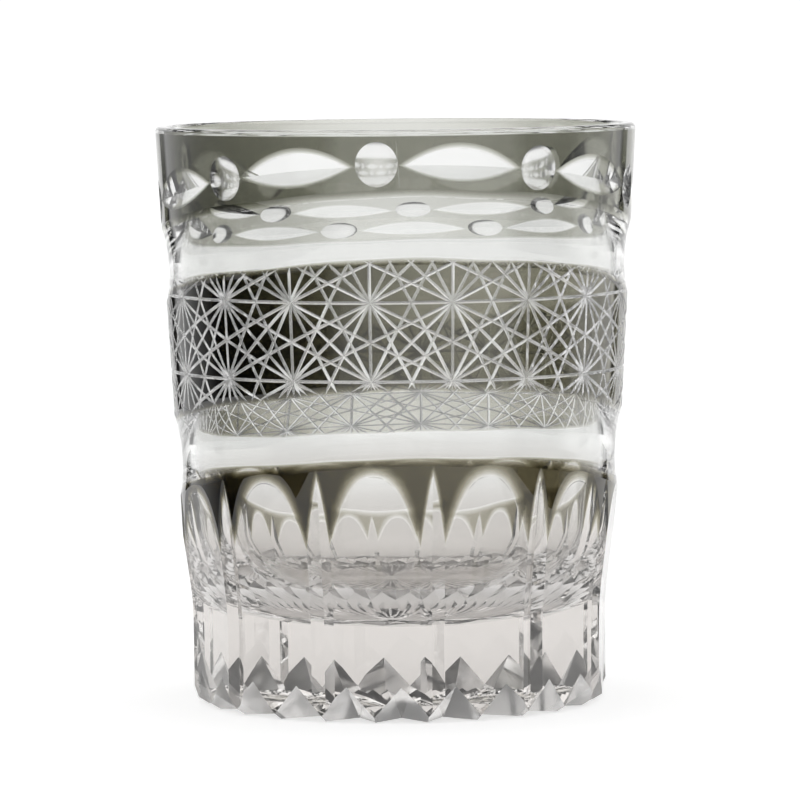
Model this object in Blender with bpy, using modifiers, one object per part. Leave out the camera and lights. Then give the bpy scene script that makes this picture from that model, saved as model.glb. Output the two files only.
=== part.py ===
"""Cased cut-crystal whiskey tumbler: a clear body and the three bands of grey casing left on its wall.

The clear body is one turned blank with a thick base. A thin grey casing lies on its outer wall.
Wheel cuts go through the casing into the clear glass: two wide hollow bands that lie on a slant,
rows of V-cut lenses and round dots under the rim, flat panels and V-cut spears above the base,
and notches and rays on the underside. The same cutters work on the body and on the casing.
"""

import math

import bmesh
import bpy

# Sizes in metres. Heights are above the table, with the cup's axis on Z and its front at -Y.
HEIGHT = 0.1010
BASE_RADIUS = 0.03638
WALL_SLOPE = 0.0563  # growth of the outer radius with height
BORE_RADIUS = 0.0393  # inner radius at the rim
BORE_SLOPE = 0.0634
BORE_WAIST = 0.0440  # below this height the wall thickens a little faster
FOOT_SLOPE = 0.1000
FLOOR_HEIGHT = 0.0147
FLOOR_CURVE = 0.1125  # radius of the dish
CORNER_RADIUS = 0.0170
STEPS = 72

# The grey casing on the outer wall.
CASING = 0.0004
GAP = 0.0003  # clearance between the casing and the clear body
CASING_TOP = 0.0988
RECESS_BOTTOM = 0.0160

# The slant of the decoration: highest near the front, lowest at the back.
SLANT = 0.0076
SLANT_CENTRE = math.radians(4.0)

# Hollow bands: height of the middle at its highest point, half height and depth.
UPPER_BAND = (0.0845, 0.0064, 0.00085)
LOWER_BAND = (0.0511, 0.0071, 0.00085)

# Lens and dot rows in the top band.
ROW_HEIGHT = 0.0950
ROW_PITCH = math.radians(40.0)
LENS_START = math.radians(15.5)
DOT_START = math.radians(-4.5)
LENS_HALF_ANGLE = math.radians(15.0)
LENS_DEPTH = 0.00125
LENS_SLOPE = 2.68  # half height over depth of the V
DOT_DEPTH = 0.0012
DOT_SPHERE = 0.0066
SECOND_ROW_RISE = 0.0092
SECOND_ROW_FROM = math.radians(95.0)  # the second row exists only beyond this angle from the front

# Flat panels and V-cut spears above the base.
PANELS = 12
PANEL_START = math.radians(-6.5)
PANEL_RADIUS = 0.03555
PANEL_TOP = 0.0452
SPEAR_START = math.radians(8.7)
SPEAR_RADIUS = 0.03545
SPEAR_TOP = 0.0447
SPEAR_SLOPE = 0.375  # depth over half width of the V
CUT_FOOT = 0.0100  # below this height the panels and the spears stand upright
CUT_BEND = 0.0180  # above this height they lean out in a straight line

# Foot notches and underside rays.
NOTCHES = 24
NOTCH_START = math.radians(0.1)
NOTCH_INNER = 0.0276  # where a notch's valley meets the underside
NOTCH_RISE = 0.75
NOTCH_SLOPE = 1.02
RAY_SECTIONS = ((0.0030, 0.0002), (0.0110, 0.0011), (0.0200, 0.0016), (0.0268, 0.0))
RAY_SLOPE = 0.68


def wall(z):
    """Outer radius of the blank at height z."""
    return BASE_RADIUS + WALL_SLOPE * z


def drop(angle):
    """How far the slanted decoration has sunk at this angle from the front."""
    return SLANT * (1 - math.cos(angle - SLANT_CENTRE))


def polar(radius, angle, z):
    """Point at a radius and at an angle from the front, growing towards +X."""
    return (radius * math.sin(angle), -radius * math.cos(angle), z)


def collection(name, hidden=False):
    made = bpy.data.collections.new(name)
    made.hide_render = hidden
    bpy.context.scene.collection.children.link(made)
    return made


def material(name, colour, roughness, metallic=0.0):
    made = bpy.data.materials.new(name)
    made.use_nodes = True
    shader = made.node_tree.nodes["Principled BSDF"]
    shader.inputs["Base Color"].default_value = (*colour, 1.0)
    shader.inputs["Roughness"].default_value = roughness
    shader.inputs["Metallic"].default_value = metallic
    return made


def add(name, bm, target):
    mesh = bpy.data.meshes.new(name)
    bmesh.ops.recalc_face_normals(bm, faces=bm.faces)
    bm.to_mesh(mesh)
    bm.free()
    made = bpy.data.objects.new(name, mesh)
    target.objects.link(made)
    if target.hide_render:
        made.hide_render = True
        made.display_type = "WIRE"
    return made


def loft(name, sections, target, cyclic=False):
    """Closed solid through equal-length sections: a ring when cyclic, or capped at both ends."""
    bm = bmesh.new()
    loops = [[bm.verts.new(point) for point in section] for section in sections]
    count = len(loops[0])
    pairs = list(zip(loops, loops[1:]))
    if cyclic:
        pairs.append((loops[-1], loops[0]))
    for low, high in pairs:
        for i in range(count):
            j = (i + 1) % count
            bm.faces.new((low[i], low[j], high[j], high[i]))
    if not cyclic:
        bm.faces.new(loops[0][::-1])
        bm.faces.new(loops[-1])
    return add(name, bm, target)


def round_solid(name, profile, target):
    """Solid of revolution from an (r, z) profile that starts and ends on the axis."""
    bm = bmesh.new()
    verts = [bm.verts.new((r, 0.0, z)) for r, z in profile]
    for a, b in zip(verts, verts[1:]):
        bm.edges.new((a, b))
    mesh = bpy.data.meshes.new(name)
    bm.to_mesh(mesh)
    bm.free()
    made = bpy.data.objects.new(name, mesh)
    target.objects.link(made)
    screw = made.modifiers.new("Turn", "SCREW")
    screw.steps = STEPS
    screw.render_steps = STEPS
    screw.use_merge_vertices = True
    screw.merge_threshold = 0.00001
    screw.use_normal_calculate = True
    return made


def fillet(before, corner, after, radius, count):
    """Points of an arc that rounds the corner between two straight runs of a profile."""
    ax, az = before[0] - corner[0], before[1] - corner[1]
    bx, bz = after[0] - corner[0], after[1] - corner[1]
    a_len, b_len = math.hypot(ax, az), math.hypot(bx, bz)
    ax, az, bx, bz = ax / a_len, az / a_len, bx / b_len, bz / b_len
    half = math.acos(ax * bx + az * bz) / 2
    reach = radius / math.tan(half)
    mx, mz = ax + bx, az + bz
    m_len = math.hypot(mx, mz)
    to_centre = radius / math.sin(half)
    cx, cz = corner[0] + mx / m_len * to_centre, corner[1] + mz / m_len * to_centre
    start = math.atan2(corner[1] + az * reach - cz, corner[0] + ax * reach - cx)
    end = math.atan2(corner[1] + bz * reach - cz, corner[0] + bx * reach - cx)
    turn = (end - start + math.pi) % (2 * math.pi) - math.pi
    points = []
    for i in range(count + 1):
        angle = start + turn * i / count
        points.append((cx + radius * math.cos(angle), cz + radius * math.sin(angle)))
    return points


def body_profile():
    """The clear blank: up the cavity, over the rim, down the outer wall and in along the underside."""
    floor = []
    for i in range(4):
        r = i * 0.006
        floor.append((r, FLOOR_HEIGHT + r * r / (2 * FLOOR_CURVE)))
    corner_z = FLOOR_HEIGHT + 0.0042
    waist = (BORE_RADIUS + BORE_SLOPE * (BORE_WAIST - HEIGHT), BORE_WAIST)
    corner = (waist[0] - FOOT_SLOPE * (BORE_WAIST - corner_z), corner_z)
    lip_z = HEIGHT - 0.0014
    lip = (BORE_RADIUS + BORE_SLOPE * (lip_z - HEIGHT), lip_z)
    profile = floor + fillet(floor[-1], corner, waist, CORNER_RADIUS, 7)
    profile.append(waist)
    inner, outer = (lip[0], HEIGHT), (wall(HEIGHT), HEIGHT)
    shoulder = (wall(CASING_TOP + GAP), CASING_TOP + GAP)
    profile += fillet(lip, inner, outer, 0.0012, 4)
    profile += fillet(inner, outer, shoulder, 0.0012, 4)
    profile.append(shoulder)
    under = CASING + GAP
    for z in (CASING_TOP + GAP, 0.0845, 0.0511, RECESS_BOTTOM):
        profile.append((wall(z) - under, z))
    profile.append((wall(RECESS_BOTTOM), RECESS_BOTTOM))
    profile.append((BASE_RADIUS, 0.0))
    profile.append((0.0, 0.0))
    return profile


def band_cutter(name, band, target):
    """Ring with a hollow arc section that follows the slant round the wall."""
    middle, half, depth = band
    radius = (half * half + depth * depth) / (2 * depth)
    sections = []
    for k in range(STEPS):
        angle = 2 * math.pi * (k + 0.1) / STEPS
        centre = middle - drop(angle)
        section = []
        for i in range(7):
            offset = 1.2 * half * (1 - i / 3)
            hollow = depth - radius + math.sqrt(radius * radius - offset * offset)
            section.append(polar(wall(centre + offset) - hollow, angle, centre + offset))
        section.append(polar(wall(middle) + 0.004, angle, centre - 1.2 * half))
        section.append(polar(wall(middle) + 0.004, angle, centre + 1.2 * half))
        sections.append(section)
    return loft(name, sections, target, cyclic=True)


def flute_radius(z, foot, top):
    """Distance of a panel or a valley from the axis: upright below, sweeping out to the wall at its top."""
    share = (z - CUT_BEND) / (top - CUT_BEND)
    rise = (share + math.sqrt(share * share + 0.02)) / 2
    entry = max(share, 0.0) ** 12
    return foot + (wall(top) - foot) * (0.92 * rise + 0.08 * entry)


def flute_heights(top):
    steps = [-0.003, CUT_FOOT]
    for i in range(1, 8):
        steps.append(CUT_FOOT + (top - CUT_FOOT) * i / 6)
    return steps


def panel_cutter(name, angle, target):
    """Block with a flat inner face that sweeps outwards at the top."""
    top = PANEL_TOP - drop(angle)
    sections = []
    for z in flute_heights(top):
        radius = flute_radius(z, PANEL_RADIUS, top)
        section = []
        for along, out in ((-0.013, 0.0), (0.013, 0.0), (0.013, 0.006), (-0.013, 0.006)):
            x, y = along, -(radius + out)
            turn_x = x * math.cos(angle) - y * math.sin(angle)
            turn_y = x * math.sin(angle) + y * math.cos(angle)
            section.append((turn_x, turn_y, z))
        sections.append(section)
    return loft(name, sections, target)


def spear_cutter(name, angle, target):
    """V-shaped cutter whose valley sweeps outwards at the top."""
    top = SPEAR_TOP - drop(angle)
    sections = []
    for z in flute_heights(top):
        radius = flute_radius(z, SPEAR_RADIUS, top)
        section = []
        for along, out in ((0.0, 0.0), (0.005 / SPEAR_SLOPE, 0.005), (-0.005 / SPEAR_SLOPE, 0.005)):
            x, y = along, -(radius + out)
            turn_x = x * math.cos(angle) - y * math.sin(angle)
            turn_y = x * math.sin(angle) + y * math.cos(angle)
            section.append((turn_x, turn_y, z))
        sections.append(section)
    return loft(name, sections, target)


def lens_cutter(name, angle, z, target):
    """V-cut lens along the wall, deepest in the middle and running out at both ends."""
    sections = []
    for i in range(13):
        share = (i - 6) / 6 * 1.12
        depth = LENS_DEPTH * (1 - share * share)
        at = angle + share * LENS_HALF_ANGLE
        centre = z - drop(at)
        tip = wall(centre) - depth
        half = (depth + 0.002) * LENS_SLOPE
        sections.append([
            polar(tip, at, centre),
            polar(tip + depth + 0.002, at, centre + half),
            polar(tip + depth + 0.002, at, centre - half),
        ])
    return loft(name, sections, target)


def dot_cutter(name, angle, z, target):
    """Sphere that cuts a round dot, with its pole towards the axis."""
    centre = z - drop(angle)
    bm = bmesh.new()
    bmesh.ops.create_uvsphere(bm, u_segments=14, v_segments=14, radius=DOT_SPHERE)
    made = add(name, bm, target)
    turned = polar(wall(centre) - DOT_DEPTH + DOT_SPHERE, angle, centre)
    for vertex in made.data.vertices:
        x, y, height = vertex.co
        side_x = x * math.cos(angle) + height * math.sin(angle)
        side_y = x * math.sin(angle) - height * math.cos(angle)
        vertex.co = (turned[0] + side_x, turned[1] + side_y, turned[2] + y)
    return made


def notch_cutter(name, angle, target):
    """Downward V across the foot, rising outwards."""
    sections = []
    for radius in (0.0240, 0.0410):
        valley = (radius - NOTCH_INNER) * NOTCH_RISE
        section = []
        for along, down in ((0.0, 0.0), (-0.012 / NOTCH_SLOPE, 0.012), (0.012 / NOTCH_SLOPE, 0.012)):
            x, y = along, -radius
            turn_x = x * math.cos(angle) - y * math.sin(angle)
            turn_y = x * math.sin(angle) + y * math.cos(angle)
            section.append((turn_x, turn_y, valley - down))
        sections.append(section)
    return loft(name, sections, target)


def ray_cutter(name, angle, target):
    """Radial V groove on the underside."""
    sections = []
    for radius, depth in RAY_SECTIONS:
        half = (depth + 0.001) / RAY_SLOPE
        section = []
        for along, z in ((0.0, depth), (-half, -0.001), (half, -0.001)):
            x, y = along, -radius
            turn_x = x * math.cos(angle) - y * math.sin(angle)
            turn_y = x * math.sin(angle) + y * math.cos(angle)
            section.append((turn_x, turn_y, z))
        sections.append(section)
    return loft(name, sections, target)


def casing_sleeve(name, low, high, target):
    """Blank of one casing band between two slanted edges, given as heights by angle."""
    sections = []
    for k in range(STEPS):
        angle = 2 * math.pi * k / STEPS
        bottom, top = low(angle), high(angle)
        sections.append([
            polar(wall(bottom), angle, bottom),
            polar(wall(top), angle, top),
            polar(wall(top) - CASING, angle, top),
            polar(wall(bottom) - CASING, angle, bottom),
        ])
    return loft(name, sections, target, cyclic=True)


def cut(target, cutters):
    """Subtracts every object of a cutter collection."""
    step = target.modifiers.new(cutters.name, "BOOLEAN")
    step.operation = "DIFFERENCE"
    step.operand_type = "COLLECTION"
    step.collection = cutters
    step.solver = "EXACT"


def finish(target, look):
    """Material and shading of a finished node."""
    target.data.materials.append(look)
    graph = bpy.context.evaluated_depsgraph_get()
    mesh = bpy.data.meshes.new_from_object(target.evaluated_get(graph))
    target.modifiers.clear()
    target.data = mesh
    mesh.name = target.name
    for face in mesh.polygons:
        face.use_smooth = True
    mesh.set_sharp_from_angle(angle=math.radians(8.0))


for old in list(bpy.data.objects):
    bpy.data.objects.remove(old)

tumbler = collection("whiskey_tumbler")
band_tools = collection("band_cutters", hidden=True)
lens_tools = collection("lens_cutters", hidden=True)
dot_tools = collection("dot_cutters", hidden=True)
flute_tools = collection("flute_cutters", hidden=True)
spear_tools = collection("spear_cutters", hidden=True)
notch_tools = collection("notch_cutters", hidden=True)
ray_tools = collection("ray_cutters", hidden=True)

band_cutter("upper_band_cutter", UPPER_BAND, band_tools)
band_cutter("lower_band_cutter", LOWER_BAND, band_tools)
for row in range(9):
    lens_angle = LENS_START + row * ROW_PITCH
    dot_angle = DOT_START + row * ROW_PITCH
    lens_cutter(f"lens_cutter_{row}", lens_angle, ROW_HEIGHT, lens_tools)
    dot_cutter(f"dot_cutter_{row}", dot_angle, ROW_HEIGHT, dot_tools)
    for kind, start, tools, make in (
        ("lens", lens_angle, lens_tools, lens_cutter),
        ("dot", dot_angle, dot_tools, dot_cutter),
    ):
        upper = (start + ROW_PITCH / 2 + math.pi) % (2 * math.pi) - math.pi
        if abs(upper) > SECOND_ROW_FROM:
            make(f"upper_{kind}_cutter_{row}", upper, ROW_HEIGHT + SECOND_ROW_RISE, tools)
for place in range(PANELS):
    turn = place * 2 * math.pi / PANELS
    panel_cutter(f"panel_cutter_{place}", PANEL_START + turn, flute_tools)
    spear_cutter(f"spear_cutter_{place}", SPEAR_START + turn, spear_tools)
for place in range(NOTCHES):
    turn = place * 2 * math.pi / NOTCHES
    notch_cutter(f"notch_cutter_{place}", NOTCH_START + turn, notch_tools)
    ray_cutter(f"ray_cutter_{place}", NOTCH_START + turn, ray_tools)

clear = material("clear_crystal", (0.93, 0.94, 0.93), 0.03)
grey_top = material("grey_casing_top", (0.36, 0.37, 0.33), 0.05)
grey_star = material("grey_casing_star", (0.30, 0.31, 0.27), 0.05)
grey_petal = material("grey_casing_petal", (0.33, 0.34, 0.30), 0.05)

body = round_solid("crystal_body", body_profile(), tumbler)
for tools in (band_tools, lens_tools, dot_tools, flute_tools, spear_tools, notch_tools, ray_tools):
    cut(body, tools)
finish(body, clear)


def upper_middle(angle):
    return UPPER_BAND[0] - drop(angle)


def lower_middle(angle):
    return LOWER_BAND[0] - drop(angle)


def petal_foot(angle):
    return CUT_FOOT + 0.55 * (PANEL_TOP - drop(angle) - CUT_FOOT)


def casing_top(_angle):
    return CASING_TOP


rim_casing = casing_sleeve("rim_casing", upper_middle, casing_top, tumbler)
for tools in (band_tools, lens_tools, dot_tools):
    cut(rim_casing, tools)
finish(rim_casing, grey_top)

star_casing = casing_sleeve("star_casing", lower_middle, upper_middle, tumbler)
cut(star_casing, band_tools)
finish(star_casing, grey_star)

petal_casing = casing_sleeve("petal_casing", petal_foot, lower_middle, tumbler)
for tools in (band_tools, flute_tools, spear_tools):
    cut(petal_casing, tools)
finish(petal_casing, grey_petal)
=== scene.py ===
"""Cased cut-crystal whiskey tumbler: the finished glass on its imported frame."""
import math

import bmesh
import bpy
import numpy as np
from mathutils import Euler, Matrix, Vector


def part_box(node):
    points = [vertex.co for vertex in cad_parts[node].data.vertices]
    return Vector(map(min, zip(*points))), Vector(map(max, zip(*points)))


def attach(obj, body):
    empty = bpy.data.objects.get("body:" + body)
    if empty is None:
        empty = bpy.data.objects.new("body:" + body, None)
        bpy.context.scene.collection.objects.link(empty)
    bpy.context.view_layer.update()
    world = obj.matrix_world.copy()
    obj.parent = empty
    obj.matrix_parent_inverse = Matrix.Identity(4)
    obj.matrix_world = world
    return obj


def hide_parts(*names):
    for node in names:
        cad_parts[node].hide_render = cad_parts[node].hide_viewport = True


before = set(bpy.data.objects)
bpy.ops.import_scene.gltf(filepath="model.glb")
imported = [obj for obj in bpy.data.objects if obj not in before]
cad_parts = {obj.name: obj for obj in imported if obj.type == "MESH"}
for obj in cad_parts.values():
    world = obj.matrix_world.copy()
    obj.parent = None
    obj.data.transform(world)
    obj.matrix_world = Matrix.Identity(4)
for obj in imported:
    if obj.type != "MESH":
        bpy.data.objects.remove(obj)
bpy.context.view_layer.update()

# One millimetre of the glass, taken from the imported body's height.
_, body_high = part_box("crystal_body")
HEIGHT = body_high[2]
MM = HEIGHT / 101.0

# The turned blank. Slopes are millimetres outwards per millimetre up.
WALL_SLOPE = 0.0563
BASE_RADIUS = 36.38 * MM
BORE_RADIUS = 39.3 * MM
BORE_SLOPE = 0.0634
BORE_WAIST = 44.0 * MM
FOOT_SLOPE = 0.1
FLOOR_HEIGHT = 14.7 * MM
FLOOR_CURVE = 112.5 * MM
CORNER_RADIUS = 17.0 * MM
CORNER_RISE = 4.2 * MM
WAIST_RADIUS = 240.0 * MM
LIP_DROP = 1.4 * MM
LIP_INNER = 1.1 * MM
LIP_OUTER = 0.9 * MM
STEPS = 240

# The grey casing fused on the outer wall.
CASING = 0.32 * MM
JOINT = 0.01 * MM
CASING_TOP = 99.95 * MM
CASING_FOOT = 16.0 * MM
# The casing colour carries painted shade, deepest towards the left, and painted light, which thins it
# at the back.
SHADED_SIDE_AT = math.radians(-62.0)
BACK_PAINTED_LIGHT = 0.70

# The slant of the decoration, highest near the front.
SLANT = 7.6 * MM
SLANT_CENTRE = math.radians(4.0)

# Hollow bands: middle at the highest point, half height, depth.
UPPER_BAND = (84.5 * MM, 6.4 * MM, 0.85 * MM)
LOWER_BAND = (51.1 * MM, 7.1 * MM, 0.85 * MM)

# Lenses and dots under the rim.
ROW_HEIGHT = 95.0 * MM
ROW_PITCH = math.radians(40.0)
LENS_START = math.radians(15.5)
DOT_START = math.radians(-4.5)
LENS_HALF_ANGLE = math.radians(15.0)
LENS_DEPTH = 1.25 * MM
LENS_SLOPE = 2.68
DOT_DEPTH = 1.2 * MM
DOT_SPHERE = 6.6 * MM
SECOND_ROW_RISE = 9.2 * MM
SECOND_ROW_FROM = math.radians(95.0)

# Star lattice of the middle band.
STAR_COLUMNS = 18
STAR_START = math.radians(13.45)
STAR_PITCH = 13.4 * MM
STAR_ROWS = (71.9 * MM, 58.5 * MM, 45.1 * MM)
# Each strand's climb in rows per column of stars, and how many start in each column.
STRANDS = ((None, 1), (1.0, 1), (-1.0, 1), (0.5, 1), (-0.5, 1), (2.0, 2), (-2.0, 2))
GROOVE_DEPTH = 0.26 * MM
GROOVE_HALF = 0.28 * MM
GROOVE_REACH = 0.4

# Flat panels and spears above the foot.
PANELS = 12
PANEL_START = math.radians(-6.5)
PANEL_RADIUS = 35.55 * MM
PANEL_TOP = 45.2 * MM
SPEAR_START = math.radians(8.7)
SPEAR_RADIUS = 35.45 * MM
SPEAR_TOP = 44.7 * MM
SPEAR_SLOPE = 0.375
CUT_FOOT = 10.0 * MM
CUT_BEND = 18.0 * MM

# Foot notches and underside rays.
NOTCHES = 24
NOTCH_START = math.radians(0.1)
NOTCH_INNER = 27.6 * MM
NOTCH_RISE = 0.75
NOTCH_SLOPE = 1.02
NOTCH_TOP = 6.5 * MM
# Distance from the axis and depth at four places along a ray.
RAY_SECTIONS = ((3.0, 0.2), (11.0, 1.1), (20.0, 1.6), (26.8, 0.0))
RAY_SLOPE = 0.68

# How near a face lies to the true surface of the cut that made it.
MATCH = 0.03 * MM

# Colour through the glass: refraction, and where the thick base starts to tell.
CRYSTAL_IOR = 1.55
DEPTH_FROM = 42 * MM
DEPTH_FADE = 12 * MM


def wall(z):
    """Outer radius of the blank at a height."""
    return BASE_RADIUS + WALL_SLOPE * z


def drop(angle):
    """How far the slanted decoration has sunk at an angle from the front."""
    return SLANT * (1 - np.cos(angle - SLANT_CENTRE))


def stray(angle):
    """The small wandering of a band that was cut by hand."""
    waves = np.sin(3 * angle + 0.6) + 0.7 * np.sin(7 * angle + 2.1) + 0.45 * np.sin(13 * angle)
    return 0.16 * MM * waves


def upper_middle(angle):
    """Height of the upper hollow band's middle."""
    return UPPER_BAND[0] - drop(angle)


def lower_middle(angle):
    """Height of the lower hollow band's middle."""
    return LOWER_BAND[0] - drop(angle)


def petal_foot(angle):
    """Height where the lowest casing band ends, hidden in the cuts."""
    return CUT_FOOT + 0.55 * (PANEL_TOP - drop(angle) - CUT_FOOT)


def polar(radius, angle, z):
    """Point at a distance from the axis and an angle from the front."""
    return (radius * math.sin(angle), -radius * math.cos(angle), z)


def turned(along, out, z, angle):
    """Point given along and away from the axis in a frame turned to an angle."""
    x, y = along, -out
    c, s = math.cos(angle), math.sin(angle)
    return (x * c - y * s, x * s + y * c, z)


def hollow(offset, band):
    """Depth of a hollow band at a height away from its middle."""
    _, half, depth = band
    # The wheel's radius, from the width and depth of its cut.
    radius = (half * half + depth * depth) / (2 * depth)
    return depth - radius + np.sqrt(np.maximum(radius * radius - offset * offset, 0.0))


def flute_radius(z, foot, top):
    """Distance of a panel or valley from the axis, sweeping out to the wall at its top."""
    share = (z - CUT_BEND) / (top - CUT_BEND)
    rise = (share + np.sqrt(share * share + 0.02)) / 2
    entry = np.maximum(share, 0.0) ** 12
    return foot + (wall(top) - foot) * (0.92 * rise + 0.08 * entry)


# --- Blanks and cutters ----------------------------------------------------

workshop = bpy.data.collections.new("workshop")
bpy.context.scene.collection.children.link(workshop)


def tool(name, mesh):
    """Object in the workshop, where pieces and cutters wait until they are finished."""
    made = bpy.data.objects.new(name, mesh)
    workshop.objects.link(made)
    return made


def closed_mesh(name, bm):
    """Plain mesh of triangles facing outwards."""
    bmesh.ops.triangulate(bm, faces=bm.faces)
    bmesh.ops.recalc_face_normals(bm, faces=bm.faces)
    mesh = bpy.data.meshes.new(name)
    bm.to_mesh(mesh)
    bm.free()
    return mesh


def loft(name, sections, cyclic=False):
    """Closed mesh through equal-length sections, a ring when cyclic."""
    bm = bmesh.new()
    loops = [[bm.verts.new(point) for point in section] for section in sections]
    count = len(loops[0])
    pairs = list(zip(loops, loops[1:]))
    if cyclic:
        pairs.append((loops[-1], loops[0]))
    for low, high in pairs:
        for i in range(count):
            j = (i + 1) % count
            bm.faces.new((low[i], low[j], high[j], high[i]))
    if not cyclic:
        bm.faces.new(loops[0][::-1])
        bm.faces.new(loops[-1])
    return closed_mesh(name, bm)


def lathe(name, profile):
    """Closed solid of revolution from a profile that starts and ends on the axis."""
    bm = bmesh.new()
    first = bm.verts.new((0.0, 0.0, profile[0][1]))
    last = bm.verts.new((0.0, 0.0, profile[-1][1]))
    rings = []
    for r, z in profile[1:-1]:
        rings.append([bm.verts.new(polar(r, 2 * math.pi * k / STEPS, z)) for k in range(STEPS)])
    for k in range(STEPS):
        j = (k + 1) % STEPS
        bm.faces.new((first, rings[0][k], rings[0][j]))
        bm.faces.new((last, rings[-1][j], rings[-1][k]))
        for low, high in zip(rings, rings[1:]):
            bm.faces.new((low[k], high[k], high[j], low[j]))
    return closed_mesh(name, bm)


def fillet(before, corner, after, radius, count):
    """Arc that rounds the corner between two straight runs of a profile."""
    a = Vector(before) - Vector(corner)
    b = Vector(after) - Vector(corner)
    a.normalize()
    b.normalize()
    half = a.angle(b) / 2
    centre = Vector(corner) + (a + b).normalized() * (radius / math.sin(half))
    start = Vector(corner) + a * (radius / math.tan(half)) - centre
    end = Vector(corner) + b * (radius / math.tan(half)) - centre
    low = math.atan2(start.y, start.x)
    turn = (math.atan2(end.y, end.x) - low + math.pi) % (2 * math.pi) - math.pi
    points = []
    for i in range(count + 1):
        angle = low + turn * i / count
        points.append((centre.x + radius * math.cos(angle), centre.y + radius * math.sin(angle)))
    return points


def blank_profile():
    """The clear blank: up the cavity, over the rim, down the wall and in along the underside."""
    profile = []
    for i in range(12):
        r = i * 1.6 * MM
        profile.append((r, FLOOR_HEIGHT + r * r / (2 * FLOOR_CURVE)))
    corner_z = FLOOR_HEIGHT + CORNER_RISE
    waist_radius = BORE_RADIUS + BORE_SLOPE * (BORE_WAIST - HEIGHT)
    corner = (waist_radius - FOOT_SLOPE * (BORE_WAIST - corner_z), corner_z)
    low = BORE_WAIST - 6 * MM
    waist_foot = (waist_radius - FOOT_SLOPE * (BORE_WAIST - low), low)
    lip_z = HEIGHT - LIP_DROP
    lip = (BORE_RADIUS + BORE_SLOPE * (lip_z - HEIGHT), lip_z)
    profile += fillet(profile[-1], corner, waist_foot, CORNER_RADIUS, 24)
    profile += fillet(waist_foot, (waist_radius, BORE_WAIST), lip, WAIST_RADIUS, 6)
    inner, outer = (lip[0], HEIGHT), (wall(HEIGHT), HEIGHT)
    shoulder = (wall(CASING_TOP), CASING_TOP)
    profile += fillet(lip, inner, outer, LIP_INNER, 12)
    profile += fillet(inner, outer, shoulder, LIP_OUTER, 12)
    profile.append(shoulder)
    # The wall steps in behind the casing.
    under = CASING + JOINT
    profile.append((wall(CASING_TOP) - under, CASING_TOP))
    profile.append((wall(CASING_FOOT) - under, CASING_FOOT))
    profile.append((wall(CASING_FOOT), CASING_FOOT))
    profile.append((BASE_RADIUS, 0.0))
    profile.append((0.0, 0.0))
    return profile


def band_ring(band):
    """Cutter of a hollow band that follows the slant round the wall."""
    middle, half, _ = band
    sections = []
    for k in range(STEPS):
        angle = 2 * math.pi * k / STEPS
        centre = middle - drop(angle) + stray(angle)
        section = []
        for i in range(19):
            offset = 1.2 * half * (1 - i / 9)
            section.append(polar(wall(centre + offset) - hollow(offset, band), angle, centre + offset))
        section.append(polar(wall(middle) + 4 * MM, angle, centre - 1.2 * half))
        section.append(polar(wall(middle) + 4 * MM, angle, centre + 1.2 * half))
        sections.append(section)
    return loft("band_ring", sections, cyclic=True)


def flute_heights(top):
    """Heights of a panel or spear cutter's sections, from below the foot to past its top."""
    steps = [-3.0 * MM, CUT_FOOT]
    for i in range(1, 26):
        steps.append(CUT_FOOT + (top - CUT_FOOT) * i / 22)
    return steps


def panel_block(angle):
    """Cutter of a flat panel that sweeps outwards at the top."""
    top = PANEL_TOP - drop(angle)
    wide, deep = 13 * MM, 6 * MM
    sections = []
    for z in flute_heights(top):
        radius = flute_radius(z, PANEL_RADIUS, top)
        corners = ((-wide, 0.0), (wide, 0.0), (wide, deep), (-wide, deep))
        sections.append([turned(along, radius + out, z, angle) for along, out in corners])
    return loft("panel_block", sections)


def spear_blade(angle):
    """V-shaped cutter whose valley sweeps outwards at the top."""
    top = SPEAR_TOP - drop(angle)
    deep = 5 * MM
    wide = deep / SPEAR_SLOPE
    sections = []
    for z in flute_heights(top):
        radius = flute_radius(z, SPEAR_RADIUS, top)
        corners = ((0.0, 0.0), (wide, deep), (-wide, deep))
        sections.append([turned(along, radius + out, z, angle) for along, out in corners])
    return loft("spear_blade", sections)


def lens_blade(angle, z):
    """V-cut lens along the wall, deepest in the middle."""
    clear = 2 * MM
    sections = []
    for i in range(33):
        share = (i - 16) / 16 * 1.12
        depth = LENS_DEPTH * (1 - share * share)
        at = angle + share * LENS_HALF_ANGLE
        centre = z - drop(at)
        tip = wall(centre) - depth
        half = (depth + clear) * LENS_SLOPE
        sections.append([
            polar(tip, at, centre),
            polar(tip + depth + clear, at, centre + half),
            polar(tip + depth + clear, at, centre - half),
        ])
    return loft("lens_blade", sections)


def dot_ball(angle, z):
    """Ball that cuts a round dot, with its pole towards the axis."""
    centre = z - drop(angle)
    bm = bmesh.new()
    bmesh.ops.create_uvsphere(bm, u_segments=40, v_segments=64, radius=DOT_SPHERE)
    bmesh.ops.rotate(bm, matrix=Matrix.Rotation(math.radians(90), 3, "X"), verts=bm.verts)
    out = wall(centre) - DOT_DEPTH + DOT_SPHERE
    bmesh.ops.translate(bm, vec=(0.0, -out, centre), verts=bm.verts)
    bmesh.ops.rotate(bm, matrix=Matrix.Rotation(angle, 3, "Z"), verts=bm.verts)
    bmesh.ops.triangulate(bm, faces=bm.faces)
    mesh = bpy.data.meshes.new("dot_ball")
    bm.to_mesh(mesh)
    bm.free()
    return mesh


def notch_blade():
    """Downward V across the foot, rising outwards."""
    sections = []
    for radius in (24 * MM, 41 * MM):
        valley = (radius - NOTCH_INNER) * NOTCH_RISE
        down = 12 * MM
        wide = down / NOTCH_SLOPE
        corners = ((0.0, 0.0), (-wide, down), (wide, down))
        sections.append([turned(along, radius, valley - low, NOTCH_START) for along, low in corners])
    return loft("notch_blade", sections)


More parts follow.
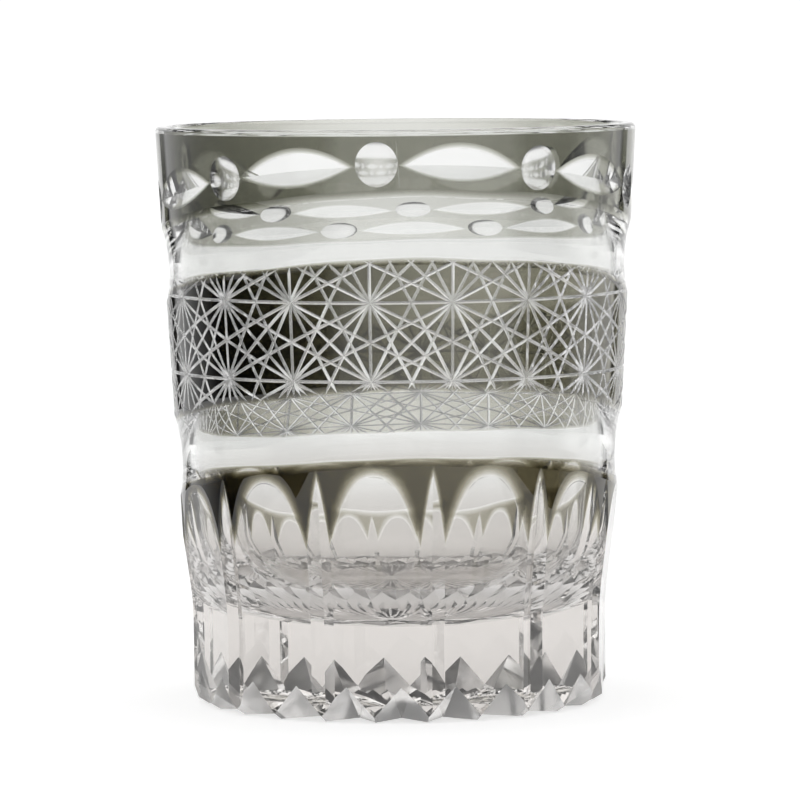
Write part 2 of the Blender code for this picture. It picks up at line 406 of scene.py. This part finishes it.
def ray_blade():
    """Radial V groove on the underside."""
    sections = []
    for radius, depth in RAY_SECTIONS:
        half = (depth + 1.0) / RAY_SLOPE * MM
        corners = ((0.0, depth * MM), (-half, -MM), (half, -MM))
        sections.append([turned(along, radius * MM, z, NOTCH_START) for along, z in corners])
    return loft("ray_blade", sections)


def star_strand(slope):
    """One groove of the star lattice, from below the band to above it, upright if it has no slope."""
    low, high = STAR_ROWS[2] - 4 * MM, STAR_ROWS[0] + 12 * MM
    column = 2 * math.pi / STAR_COLUMNS
    if slope is None:
        turn, count = 0.0, 1
    else:
        turn = (high - low) / STAR_PITCH / slope * column
        count = max(2, round(abs(turn) / math.radians(2.0)))
    sections = []
    for i in range(count + 1):
        z = low + (high - low) * i / count
        rows = (z - STAR_ROWS[0]) / STAR_PITCH
        at = STAR_START + (0.0 if slope is None else rows / slope * column)
        lean = math.atan2(turn * wall(z), high - low)
        spread = GROOVE_HALF * (1 + GROOVE_REACH) / math.cos(lean) / wall(z)
        tip = wall(z) - GROOVE_DEPTH
        out = wall(z) + GROOVE_DEPTH * GROOVE_REACH
        sections.append([polar(tip, at, z), polar(out, at + spread, z), polar(out, at - spread, z)])
    return loft("star_strand", sections)


def star_ring(z):
    """Level groove through one row of stars."""
    half = GROOVE_HALF * (1 + GROOVE_REACH)
    out = wall(z) + GROOVE_DEPTH * GROOVE_REACH
    sections = []
    for k in range(STEPS):
        angle = 2 * math.pi * k / STEPS
        sections.append([
            polar(wall(z) - GROOVE_DEPTH, angle, z),
            polar(out, angle, z + half),
            polar(out, angle, z - half),
        ])
    return loft("star_ring", sections, cyclic=True)


def sleeve(name, low, high, outside, inside):
    """Thin ring along the wall between two edges, given as heights by angle."""
    sections = []
    for k in range(STEPS):
        angle = 2 * math.pi * k / STEPS
        bottom, top = low(angle), high(angle)
        sections.append([
            polar(wall(bottom) + outside, angle, bottom),
            polar(wall(top) + outside, angle, top),
            polar(wall(top) - inside, angle, top),
            polar(wall(bottom) - inside, angle, bottom),
        ])
    return loft(name, sections, cyclic=True)


def casing_sleeve(low, high):
    """Blank of one casing band."""
    return sleeve("casing_sleeve", low, high, 0.0, CASING)


def star_region():
    """Ring of space round the middle band, ending inside the two hollow bands."""
    return sleeve(
        "star_region",
        lambda angle: lower_middle(angle) + 0.8 * LOWER_BAND[1],
        lambda angle: upper_middle(angle) - 0.8 * UPPER_BAND[1],
        1.2 * MM,
        1.2 * MM,
    )


# --- Cutting ---------------------------------------------------------------


def wheel_cut_tree():
    """Repeats one cutter evenly round the axis and takes every copy off the blank."""
    tree = bpy.data.node_groups.new("Wheel cuts round the glass", "GeometryNodeTree")
    face = tree.interface
    face.new_socket("Blank", in_out="INPUT", socket_type="NodeSocketGeometry")
    face.new_socket("Cutter", in_out="INPUT", socket_type="NodeSocketObject")
    face.new_socket("Count", in_out="INPUT", socket_type="NodeSocketInt")
    face.new_socket("Glass", in_out="INPUT", socket_type="NodeSocketMaterial")
    face.new_socket("Cut glass", in_out="OUTPUT", socket_type="NodeSocketGeometry")
    new, link = tree.nodes.new, tree.links.new
    given = new("NodeGroupInput")
    result = new("NodeGroupOutput")
    points = new("GeometryNodePoints")
    index = new("GeometryNodeInputIndex")
    share = new("ShaderNodeMath")
    angle = new("ShaderNodeMath")
    turn = new("ShaderNodeCombineXYZ")
    source = new("GeometryNodeObjectInfo")
    copies = new("GeometryNodeInstanceOnPoints")
    cutting = new("GeometryNodeMeshBoolean")
    real = new("GeometryNodeRealizeInstances")
    coat = new("GeometryNodeSetMaterial")
    share.operation = "DIVIDE"
    angle.operation = "MULTIPLY"
    angle.inputs[1].default_value = 2 * math.pi
    cutting.operation = "DIFFERENCE"
    cutting.solver = "MANIFOLD"
    link(given.outputs["Count"], points.inputs["Count"])
    link(index.outputs[0], share.inputs[0])
    link(given.outputs["Count"], share.inputs[1])
    link(share.outputs[0], angle.inputs[0])
    link(angle.outputs[0], turn.inputs["Z"])
    link(given.outputs["Cutter"], source.inputs["Object"])
    link(points.outputs[0], copies.inputs["Points"])
    link(source.outputs["Geometry"], copies.inputs["Instance"])
    link(turn.outputs[0], copies.inputs["Rotation"])
    link(given.outputs["Blank"], cutting.inputs["Mesh 1"])
    link(copies.outputs[0], cutting.inputs["Mesh 2"])
    link(cutting.outputs[0], real.inputs[0])
    link(real.outputs[0], coat.inputs["Geometry"])
    link(given.outputs["Glass"], coat.inputs["Material"])
    link(coat.outputs[0], result.inputs[0])
    return tree


def set_input(modifier, name, value):
    """Sets a modifier's input by the name that its tree gives it."""
    for item in modifier.node_group.interface.items_tree:
        if item.item_type == "SOCKET" and item.in_out == "INPUT" and item.name == name:
            modifier[item.identifier] = value
            return
    raise KeyError(name)


def bake(piece):
    """Turns a piece and its modifiers into a plain mesh."""
    bpy.context.view_layer.update()
    graph = bpy.context.evaluated_depsgraph_get()
    mesh = bpy.data.meshes.new_from_object(piece.evaluated_get(graph))
    piece.modifiers.clear()
    old = piece.data
    piece.data = mesh
    bpy.data.meshes.remove(old)


def ring_cut(piece, cutter, count, glass):
    """Takes evenly repeated copies of a cutter off a piece."""
    shape = tool("ring_cutter", cutter)
    modifier = piece.modifiers.new("Wheel cuts", "NODES")
    modifier.node_group = WHEEL_CUTS
    set_input(modifier, "Cutter", shape)
    set_input(modifier, "Count", count)
    set_input(modifier, "Glass", glass)
    bake(piece)
    bpy.data.objects.remove(shape)


def single_cuts(piece, cutters):
    """Takes a set of unlike cutters off a piece."""
    group = bpy.data.collections.new("cutters")
    workshop.children.link(group)
    shapes = []
    for mesh in cutters:
        shape = bpy.data.objects.new("cutter", mesh)
        group.objects.link(shape)
        shapes.append(shape)
    modifier = piece.modifiers.new("Cuts", "BOOLEAN")
    modifier.operation = "DIFFERENCE"
    modifier.operand_type = "COLLECTION"
    modifier.collection = group
    modifier.solver = "MANIFOLD"
    bake(piece)
    for shape in shapes:
        bpy.data.objects.remove(shape)
    bpy.data.collections.remove(group)


def star_lattice():
    """All the grooves of the middle band as one cutter, ended in the hollow bands."""
    outside = tool("star_region", star_region())
    single_cuts(outside, [star_ring(z) for z in STAR_ROWS])
    for slope, count in STRANDS:
        ring_cut(outside, star_strand(slope), STAR_COLUMNS * count, CRYSTAL)
    lattice = tool("star_lattice", star_region())
    single_cuts(lattice, [outside.data])
    mesh = lattice.data
    bpy.data.objects.remove(outside)
    bpy.data.objects.remove(lattice)
    return mesh


# --- Shading of the cut faces ----------------------------------------------


def nearest(angle, start, pitch):
    """Angle from the nearest of a row of evenly spaced cuts, and where that cut is."""
    centre = start + np.round((angle - start) / pitch) * pitch
    return angle - centre, centre


def lens_radius(angle, z, start, height):
    """Surface of a row of lenses, as a distance from the axis."""
    offset, _ = nearest(angle, start, ROW_PITCH)
    share = offset / LENS_HALF_ANGLE
    centre = height - drop(angle)
    return wall(centre) - LENS_DEPTH * (1 - share * share) + np.abs(z - centre) / LENS_SLOPE


def panel_radius(angle, z):
    """Surface of the flat panels."""
    offset, centre = nearest(angle, PANEL_START, 2 * math.pi / PANELS)
    return flute_radius(z, PANEL_RADIUS, PANEL_TOP - drop(centre)) / np.cos(offset)


def spear_radius(angle, z):
    """Surface of the V-cut spears."""
    offset, centre = nearest(angle, SPEAR_START, 2 * math.pi / PANELS)
    valley = flute_radius(z, SPEAR_RADIUS, SPEAR_TOP - drop(centre))
    return valley / (np.cos(offset) - SPEAR_SLOPE * np.abs(np.sin(offset)))


def band_radius(angle, z, band):
    """Surface of a hollow band."""
    return wall(z) - hollow(z - band[0] + drop(angle) - stray(angle), band)


SURFACES = (
    lambda angle, z: wall(z),
    lambda angle, z: band_radius(angle, z, UPPER_BAND),
    lambda angle, z: band_radius(angle, z, LOWER_BAND),
    lambda angle, z: lens_radius(angle, z, LENS_START, ROW_HEIGHT),
    lambda angle, z: lens_radius(angle, z, LENS_START + ROW_PITCH / 2, ROW_HEIGHT + SECOND_ROW_RISE),
    panel_radius,
    spear_radius,
)


def surface_normal(surface, angle, z, radius):
    """Outward normal of a wall given as a radius by angle and height."""
    step_a, step_z = 1e-6, 1e-8
    by_angle = (surface(angle + step_a, z) - surface(angle - step_a, z)) / (2 * step_a)
    by_height = (surface(angle, z + step_z) - surface(angle, z - step_z)) / (2 * step_z)
    out = np.stack([np.sin(angle), -np.cos(angle), np.zeros_like(angle)], -1)
    side = np.stack([np.cos(angle), np.sin(angle), np.zeros_like(angle)], -1)
    normal = out - side * (by_angle / radius)[..., None]
    normal[..., 2] -= by_height
    return normal / np.linalg.norm(normal, axis=-1, keepdims=True)


def dot_centres():
    """Centres of the balls that cut the dots."""
    centres = []
    for angle, height in DOTS:
        z = height - drop(angle)
        centres.append(polar(wall(z) - DOT_DEPTH + DOT_SPHERE, angle, z))
    return np.array(centres)


def read(items, name):
    """A place or a direction of each of a mesh's items, one row each."""
    values = np.empty(len(items) * 3, np.float32)
    items.foreach_get(name, values)
    return values.reshape(-1, 3).astype(float)


def smooth_by_edge(mesh):
    """Triangles, smooth except across an edge between two cuts."""
    bm = bmesh.new()
    bm.from_mesh(mesh)
    bmesh.ops.triangulate(bm, faces=bm.faces)
    bm.to_mesh(mesh)
    bm.free()
    mesh.polygons.foreach_set("use_smooth", np.ones(len(mesh.polygons), bool))
    mesh.set_sharp_from_angle(angle=math.radians(8.0))


def polish(mesh):
    """Smooth shading that follows the true curve of each wheel cut, with crisp edges between cuts.

    Gives each face's middle and flat normal, and whether it lies on a known cut.
    """
    smooth_by_edge(mesh)
    normals = read(mesh.corner_normals, "vector").reshape(-1, 3, 3)
    corner = np.empty(len(mesh.loops), np.int32)
    mesh.loops.foreach_get("vertex_index", corner)
    at = read(mesh.vertices, "co")[corner].reshape(-1, 3, 3)
    flat = read(mesh.polygons, "normal")
    middle = at.mean(1)
    radius = np.hypot(at[..., 0], at[..., 1])
    # Corners keep to their face's side of a seam or an edge, so they are pulled a little inwards.
    middle_angle = np.arctan2(middle[:, 0], -middle[:, 1])[:, None]
    angle = np.arctan2(at[..., 0], -at[..., 1])
    angle = middle_angle + (angle - middle_angle + math.pi) % (2 * math.pi) - math.pi
    angle = 0.99 * angle + 0.01 * middle_angle
    height = 0.99 * at[..., 2] + 0.01 * middle[:, None, 2]
    best = np.full(len(middle), MATCH)
    for surface in SURFACES:
        miss = np.abs(surface(angle, height) - radius).max(1)
        found = surface_normal(surface, angle, height, np.maximum(radius, MM))
        agree = (found.mean(1) * flat).sum(1) > 0.985
        take = agree & (miss < best)
        normals[take] = found[take]
        best[take] = miss[take]
    for centre in dot_centres():
        away = centre - at
        far = np.linalg.norm(away, axis=-1)
        miss = np.abs(far - DOT_SPHERE).max(1)
        take = miss < best
        normals[take] = (away / far[..., None])[take]
        best[take] = miss[take]
    mesh.normals_split_custom_set(normals.reshape(-1, 3))
    return middle, flat, best < MATCH


# --- Materials ---------------------------------------------------------------


def new_material(name):
    """Material, its tree and its shader."""
    made = bpy.data.materials.new(name)
    made.use_nodes = True
    return made, made.node_tree, made.node_tree.nodes["Principled BSDF"]


def new_glass(name, clear=1.0):
    """Glass material, its tree and its shader."""
    made, tree, shader = new_material(name)
    shader.inputs["Transmission Weight"].default_value = clear
    shader.inputs["IOR"].default_value = CRYSTAL_IOR
    return made, tree, shader


def calculator(tree):
    """Function that adds a Math node to a tree, fed by sockets and plain numbers."""

    def number(operation, *values):
        node = tree.nodes.new("ShaderNodeMath")
        node.operation = operation
        for socket, value in zip(node.inputs, values):
            if isinstance(value, float):
                socket.default_value = value
            else:
                tree.links.new(value, socket)
        return node.outputs[0]

    return number


def polish_marks(tree, shader, scale, low, high, bump):
    """Faint unevenness of hand polishing, in the gloss and in the surface."""
    new, link = tree.nodes.new, tree.links.new
    place = new("ShaderNodeTexCoord")
    noise = new("ShaderNodeTexNoise")
    noise.inputs["Scale"].default_value = scale
    noise.inputs["Detail"].default_value = 3.0
    spread = new("ShaderNodeMapRange")
    spread.inputs["To Min"].default_value = low
    spread.inputs["To Max"].default_value = high
    link(place.outputs["Object"], noise.inputs["Vector"])
    link(noise.outputs["Fac"], spread.inputs["Value"])
    link(spread.outputs[0], shader.inputs["Roughness"])
    wave = new("ShaderNodeTexNoise")
    wave.inputs["Scale"].default_value = 70.0
    wave.inputs["Detail"].default_value = 1.0
    swell = new("ShaderNodeBump")
    swell.inputs["Strength"].default_value = bump
    swell.inputs["Distance"].default_value = 0.0002
    link(place.outputs["Object"], wave.inputs["Vector"])
    link(wave.outputs["Fac"], swell.inputs["Height"])
    link(swell.outputs[0], shader.inputs["Normal"])
    return place


def crystal_glass():
    """Clear lead crystal, which takes on a faint colour where it is thick."""
    made, tree, shader = new_glass("Clear lead crystal")
    polish_marks(tree, shader, 220.0, 0.0, 0.02, 0.12)
    deep = tree.nodes.new("ShaderNodeAttribute")
    deep.attribute_name = "glass_depth"
    mix = tree.nodes.new("ShaderNodeMix")
    mix.data_type = "RGBA"
    mix.inputs["A"].default_value = (0.87, 0.875, 0.865, 1.0)
    mix.inputs["B"].default_value = (0.63, 0.602, 0.578, 1.0)
    tree.links.new(deep.outputs["Fac"], mix.inputs["Factor"])
    tree.links.new(mix.outputs["Result"], shader.inputs["Base Color"])
    return made


def casing_glass(name, tint, shade_on_left):
    """Grey glass whose colour deepens with the thickness left by the cutting, with painted shade on
    the left and painted light at the back.
    """
    made, tree, shader = new_glass(name)
    new, link = tree.nodes.new, tree.links.new
    number = calculator(tree)
    place = polish_marks(tree, shader, 260.0, 0.0, 0.025, 0.12)
    split = new("ShaderNodeSeparateXYZ")
    link(place.outputs["Object"], split.inputs[0])
    x, y, z = split.outputs
    radius = number("SQRT", number("ADD", number("MULTIPLY", x, x), number("MULTIPLY", y, y)))
    # What the cutting left of the casing, from none to all of it.
    inner = number("MULTIPLY_ADD", z, WALL_SLOPE, BASE_RADIUS - CASING)
    left = number("DIVIDE", number("SUBTRACT", radius, inner), CASING)
    left = number("MINIMUM", number("MAXIMUM", left, 0.0), 1.0)
    # Painted shade towards the left and painted light at the back, used as if the casing were thicker
    # or thinner there.
    side = number("MULTIPLY", y, -math.cos(SHADED_SIDE_AT))
    side = number("MULTIPLY_ADD", x, math.sin(SHADED_SIDE_AT), side)
    side = number("POWER", number("MAXIMUM", number("DIVIDE", side, radius), 0.0), 3.0)
    back = number("POWER", number("MAXIMUM", number("DIVIDE", y, radius), 0.0), 2.0)
    painted_light_and_shade = number("MULTIPLY_ADD", side, shade_on_left, number("MULTIPLY_ADD", back, -BACK_PAINTED_LIGHT, 1.0))
    cloud = new("ShaderNodeTexNoise")
    cloud.inputs["Scale"].default_value = 45.0
    cloud.inputs["Detail"].default_value = 2.0
    link(place.outputs["Object"], cloud.inputs["Vector"])
    vary = number("MULTIPLY_ADD", cloud.outputs["Fac"], 0.20, 0.88)
    deepen = new("ShaderNodeGamma")
    deepen.inputs["Color"].default_value = (*tint, 1.0)
    # Tint depth: what the cutting left, times the painted shade and light, times a random cloud.
    link(number("MULTIPLY", number("MULTIPLY", left, painted_light_and_shade), vary), deepen.inputs["Gamma"])
    link(deepen.outputs[0], shader.inputs["Base Color"])
    return made


def rim_grey():
    """Casing under the rim, nearly even all round, with only a little painted shade on the left."""
    return casing_glass("Grey casing under the rim", (0.090, 0.091, 0.064), 0.55)


def star_grey():
    """Casing of the middle band, with much deeper painted shade on the left side."""
    return casing_glass("Grey casing with star cuts", (0.052, 0.048, 0.027), 2.5)


def petal_grey():
    """Casing above the panels, the thickest of the three, with painted shade on the left."""
    return casing_glass("Grey casing above the panels", (0.0105, 0.0080, 0.0025), 1.0)


def satin_cut():
    """A cut left as the fine wheel leaves it, satin and pale."""
    made, tree, shader = new_glass("Satin wheel cut", 0.85)
    shader.inputs["Base Color"].default_value = (0.99, 0.99, 0.985, 1.0)
    polish_marks(tree, shader, 900.0, 0.14, 0.30, 0.2)
    return made


def dot_cut():
    """A ball-wheel dot, polished less than the lenses."""
    made, tree, shader = new_glass("Soft polished dot")
    shader.inputs["Base Color"].default_value = (0.82, 0.82, 0.81, 1.0)
    polish_marks(tree, shader, 500.0, 0.12, 0.22, 0.2)
    return made


def notch_cut():
    """A foot notch, left with a soft polish, so that it stays pale."""
    made, tree, shader = new_glass("Soft polished foot notch", 0.86)
    shader.inputs["Base Color"].default_value = (0.97, 0.965, 0.96, 1.0)
    polish_marks(tree, shader, 600.0, 0.08, 0.18, 0.2)
    return made


def fused_joint():
    """The joint between clear and grey glass, which neither bends nor stops light."""
    made = bpy.data.materials.new("Fused glass joint")
    made.use_nodes = True
    tree = made.node_tree
    tree.nodes.remove(tree.nodes["Principled BSDF"])
    clear = tree.nodes.new("ShaderNodeBsdfTransparent")
    tree.links.new(clear.outputs[0], tree.nodes["Material Output"].inputs["Surface"])
    return made


# --- Building -----------------------------------------------------------------

WHEEL_CUTS = wheel_cut_tree()
CRYSTAL = crystal_glass()
# Finishes in the order of their slots, after the piece's own polished glass.
CUT_FINISHES = (fused_joint(), satin_cut(), dot_cut(), notch_cut())
JOINT_SLOT, SATIN_SLOT, DOT_SLOT, NOTCH_SLOT = range(1, 5)

LENSES = []
DOTS = []
for row in range(9):
    LENSES.append((LENS_START + row * ROW_PITCH, ROW_HEIGHT))
    DOTS.append((DOT_START + row * ROW_PITCH, ROW_HEIGHT))
    for start, kind in ((LENS_START, LENSES), (DOT_START, DOTS)):
        upper = (start + (row + 0.5) * ROW_PITCH + math.pi) % (2 * math.pi) - math.pi
        if abs(upper) > SECOND_ROW_FROM:
            kind.append((upper, ROW_HEIGHT + SECOND_ROW_RISE))


def band_cutters():
    """Both hollow bands."""
    return [band_ring(UPPER_BAND), band_ring(LOWER_BAND)]


def row_cutters():
    """Every lens and dot under the rim."""
    return [lens_blade(*place) for place in LENSES] + [dot_ball(*place) for place in DOTS]


def flute_cutters():
    """Every panel and spear above the foot."""
    turns = [place * 2 * math.pi / PANELS for place in range(PANELS)]
    panels = [panel_block(PANEL_START + turn) for turn in turns]
    return panels + [spear_blade(SPEAR_START + turn) for turn in turns]


def placing(middle, flat):
    """Each face's distance from the axis, depth under the wall and how squarely it faces outwards."""
    radius = np.hypot(middle[:, 0], middle[:, 1])
    depth = wall(middle[:, 2]) - radius
    out = (flat[:, :2] * middle[:, :2]).sum(1) / np.maximum(radius, MM)
    return radius, depth, out


def body_joint(middle, flat, matched):
    """Faces of the clear body that the casing is fused to."""
    _, depth, out = placing(middle, flat)
    height = middle[:, 2]
    behind = (np.abs(depth - CASING - JOINT) < 0.006 * MM) & (out > 0.9) & ~matched
    behind &= (height > CASING_FOOT) & (height < CASING_TOP)
    ledge = (np.abs(height - CASING_TOP) < 0.01 * MM) & (flat[:, 2] < -0.9)
    ledge &= (depth > -0.01 * MM) & (depth < CASING * 1.2)
    return behind | ledge


def casing_joint(middle, flat, matched):
    """Faces of a casing band that are fused to the clear body."""
    _, depth, out = placing(middle, flat)
    inside = (out < -0.9) & (np.abs(depth - CASING) < 0.02 * MM)
    ledge = (np.abs(middle[:, 2] - CASING_TOP) < 0.01 * MM) & (flat[:, 2] > 0.9)
    return inside | ledge


def face_slots(middle, flat, matched, joint):
    """Material slot of each face: polished glass, or one of the cut finishes."""
    radius, depth, out = placing(middle, flat)
    height = middle[:, 2]
    angle = np.arctan2(middle[:, 0], -middle[:, 1])
    rough = ~matched & ~joint & (out > 0.05)
    in_band = (height > lower_middle(angle)) & (height < upper_middle(angle))
    groove = rough & in_band & (depth > 0.0) & (depth < GROOVE_DEPTH + 0.05 * MM)
    notch = rough & (height < NOTCH_TOP) & (radius > NOTCH_INNER) & (flat[:, 2] < -0.1)
    slots = np.zeros(len(middle), np.int32)
    slots[joint] = JOINT_SLOT
    slots[groove] = SATIN_SLOT
    slots[notch] = NOTCH_SLOT
    for centre in dot_centres():
        near = np.abs(np.linalg.norm(middle - centre, axis=1) - DOT_SPHERE) < 0.05 * MM
        slots[near & ~joint] = DOT_SLOT
    return slots


def store_depth(mesh):
    """Marks how much glass lies behind each point of the body, most in the solid base."""
    points = read(mesh.vertices, "co")
    height = points[:, 2]
    low = np.clip((DEPTH_FROM - height) / DEPTH_FADE, 0.0, 1.0)
    # Light crosses the cavity floor and the underside too, so each takes only part of the colour.
    cavity = (height > 17 * MM) & (np.hypot(points[:, 0], points[:, 1]) < 34.9 * MM)
    underside = height < 0.2 * MM
    deep = np.where(cavity, 0.3, np.where(underside, 0.6, 1.0)) * low
    layer = mesh.attributes.new("glass_depth", "FLOAT", "POINT")
    layer.data.foreach_set("value", deep.astype(np.float32))


def finish_piece(piece, node, glass, find_joint):
    """Polish, materials and frame calls of a finished piece."""
    mesh = piece.data
    middle, flat, matched = polish(mesh)
    joint = find_joint(middle, flat, matched)
    mesh.materials.clear()
    mesh.materials.append(glass)
    for finish in CUT_FINISHES:
        mesh.materials.append(finish)
    mesh.polygons.foreach_set("material_index", face_slots(middle, flat, matched, joint))
    mesh.update()
    workshop.objects.unlink(piece)
    bpy.context.scene.collection.objects.link(piece)
    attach(piece, "root")
    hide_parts(node)


def build_body():
    """The clear crystal body, with every cut that reaches it."""
    body = tool("cut_crystal_body", lathe("cut_crystal_body", blank_profile()))
    single_cuts(body, band_cutters() + row_cutters() + flute_cutters())
    ring_cut(body, notch_blade(), NOTCHES, CRYSTAL)
    ring_cut(body, ray_blade(), 2 * NOTCHES, CRYSTAL)
    store_depth(body.data)
    finish_piece(body, "crystal_body", CRYSTAL, body_joint)


def build_rim_band():
    """Casing from the rim to the upper hollow band, with its lenses and dots."""
    band = tool("rim_band_casing", casing_sleeve(upper_middle, lambda angle: CASING_TOP))
    single_cuts(band, [band_ring(UPPER_BAND)] + row_cutters())
    finish_piece(band, "rim_casing", rim_grey(), casing_joint)


def build_star_band():
    """Casing between the hollow bands, with its star lattice."""
    band = tool("star_band_casing", casing_sleeve(lower_middle, upper_middle))
    single_cuts(band, [star_lattice()])
    single_cuts(band, band_cutters())
    finish_piece(band, "star_casing", star_grey(), casing_joint)


def build_petal_band():
    """Casing left as points between the tops of the panels and spears."""
    band = tool("petal_band_casing", casing_sleeve(petal_foot, lower_middle))
    single_cuts(band, [band_ring(LOWER_BAND)] + flute_cutters())
    finish_piece(band, "petal_casing", petal_grey(), casing_joint)


build_body()
build_rim_band()
build_star_band()
build_petal_band()
bpy.data.collections.remove(workshop)

# --- Stage -------------------------------------------------------------------

# Black cards: side of the table, and the two ends of each along it, in metres.
FLAG_HEIGHT = 0.11
FLAGS = (
    ("flag_left_side", -0.16, -0.35, 0.12),
    ("flag_left_back", -0.24, 0.26, 0.46),
    ("flag_right_side", 0.20, -0.16, 0.02),
    ("flag_right_back", 0.30, 0.26, 0.42),
)
TABLE_GLOW = 0.5
# Where the lit sweep fades out going up and sideways, and where the box overhead begins.
SWEEP_TOP = (0.26, 0.36)
SWEEP_EDGE = (0.20, 0.40)
SLOT_EDGE = (0.10, 0.16)
BOX_EDGE = (0.70, 0.80)
FRONT_LIGHT = 0.7
BOX_LIGHT = 1.35
ROOM_LIGHT = 0.06
LENS = 257.2
EYE = (0.0, -1.0, 0.1256)
AIM = (0.35 * MM, 0.0, 52.6 * MM)
ROLL = math.radians(-0.57)


def floor_material():
    """Pale matt table top that gives off a little light of its own."""
    made, tree, shader = new_material("Pale studio floor")
    noise = tree.nodes.new("ShaderNodeTexNoise")
    noise.inputs["Scale"].default_value = 1.5
    ramp = tree.nodes.new("ShaderNodeMapRange")
    ramp.inputs["To Min"].default_value = 0.86
    ramp.inputs["To Max"].default_value = 0.90
    place = tree.nodes.new("ShaderNodeTexCoord")
    tree.links.new(place.outputs["Object"], noise.inputs["Vector"])
    tree.links.new(noise.outputs["Fac"], ramp.inputs["Value"])
    tree.links.new(ramp.outputs[0], shader.inputs["Base Color"])
    shader.inputs["Roughness"].default_value = 0.9
    shader.inputs["Specular IOR Level"].default_value = 0.1
    shader.inputs["Emission Color"].default_value = (1.0, 1.0, 1.0, 1.0)
    shader.inputs["Emission Strength"].default_value = TABLE_GLOW
    return made


def build_floor():
    """Round table top, just under the foot."""
    bm = bmesh.new()
    bmesh.ops.create_circle(bm, cap_ends=True, segments=96, radius=6.0)
    mesh = bpy.data.meshes.new("studio_floor")
    bm.to_mesh(mesh)
    bm.free()
    floor = bpy.data.objects.new("studio_floor", mesh)
    floor.location.z = -0.02 * MM
    mesh.materials.append(floor_material())
    bpy.context.scene.collection.objects.link(floor)


def card_material():
    """Black card that fades out with its cover value."""
    made, tree, shader = new_material("Black card")
    shader.inputs["Base Color"].default_value = (0.012, 0.012, 0.012, 1.0)
    shader.inputs["Roughness"].default_value = 0.9
    cover = tree.nodes.new("ShaderNodeAttribute")
    cover.attribute_name = "cover"
    tree.links.new(cover.outputs["Fac"], shader.inputs["Alpha"])
    return made


def build_flag(name, side, low, high, card):
    """Upright card that fades at its ends and its top, and is seen only in the glass."""
    bm = bmesh.new()
    bmesh.ops.create_grid(bm, x_segments=8, y_segments=4, size=0.5)
    mesh = bpy.data.meshes.new(name)
    bm.to_mesh(mesh)
    bm.free()
    along, up, _ = read(mesh.vertices, "co").T
    covered = np.clip((0.5 - np.abs(along)) * 4, 0.0, 1.0) * np.clip((0.5 - up) * 2, 0.0, 1.0)
    reach = low + (along + 0.5) * (high - low)
    upright = np.stack([np.full_like(up, side), reach, (up + 0.55) * FLAG_HEIGHT], -1)
    mesh.vertices.foreach_set("co", upright.ravel())
    layer = mesh.attributes.new("cover", "FLOAT", "POINT")
    layer.data.foreach_set("value", covered.astype(np.float32))
    mesh.materials.append(card)
    flag = bpy.data.objects.new(name, mesh)
    flag.visible_camera = False
    flag.visible_diffuse = False
    flag.visible_shadow = False
    bpy.context.scene.collection.objects.link(flag)


def build_flags():
    """The black cards that give clear glass its dark edges."""
    card = card_material()
    for name, side, low, high in FLAGS:
        build_flag(name, side, low, high, card)


def build_light():
    """Dim room with a low bright sweep round the table and a large soft box overhead."""
    world = bpy.data.worlds.new("Studio dome")
    bpy.context.scene.world = world
    world.use_nodes = True
    tree = world.node_tree
    number = calculator(tree)
    place = tree.nodes.new("ShaderNodeTexCoord")
    split = tree.nodes.new("ShaderNodeSeparateXYZ")
    tree.links.new(place.outputs["Generated"], split.inputs[0])

    def soft_step(value, low, high):
        node = tree.nodes.new("ShaderNodeMapRange")
        node.interpolation_type = "SMOOTHSTEP"
        node.inputs["From Min"].default_value = low
        node.inputs["From Max"].default_value = high
        tree.links.new(value, node.inputs["Value"])
        return node.outputs[0]

    x, y, z = split.outputs
    behind = soft_step(y, *SWEEP_EDGE)
    slot = number("SUBTRACT", 1.0, soft_step(number("ABSOLUTE", y), *SLOT_EDGE))
    slot = number("MULTIPLY", slot, soft_step(number("MULTIPLY", x, -1.0), 0.0, 0.2))
    facing = number("MULTIPLY", soft_step(number("MULTIPLY", y, -1.0), 0.3, 0.6), FRONT_LIGHT)
    sweep = number("MAXIMUM", number("MAXIMUM", behind, slot), facing)
    sweep = number("MULTIPLY", sweep, number("SUBTRACT", 1.0, soft_step(z, *SWEEP_TOP)))
    box = number("MULTIPLY", soft_step(z, *BOX_EDGE), BOX_LIGHT)
    total = number("ADD", number("ADD", sweep, box), ROOM_LIGHT)
    back = tree.nodes["Background"]
    back.inputs["Color"].default_value = (1.0, 1.0, 1.0, 1.0)
    tree.links.new(total, back.inputs["Strength"])


def build_camera():
    """Long lens, a little above the rim and turned a touch."""
    data = bpy.data.cameras.new("camera")
    data.sensor_width = 36.0
    data.lens = LENS
    data.clip_start = 0.01
    data.clip_end = 50.0
    camera = bpy.data.objects.new("camera", data)
    bpy.context.scene.collection.objects.link(camera)
    look = (Vector(AIM) - Vector(EYE)).to_track_quat("-Z", "Y")
    roll = Euler((0.0, 0.0, ROLL)).to_quaternion()
    camera.rotation_euler = (look @ roll).to_euler()
    camera.location = EYE
    bpy.context.scene.camera = camera


build_floor()
build_flags()
build_light()
build_camera()

scene = bpy.context.scene
scene.view_settings.view_transform = "Standard"
scene.cycles.max_bounces = 24
scene.cycles.transmission_bounces = 24
scene.cycles.transparent_max_bounces = 64
scene.cycles.glossy_bounces = 8
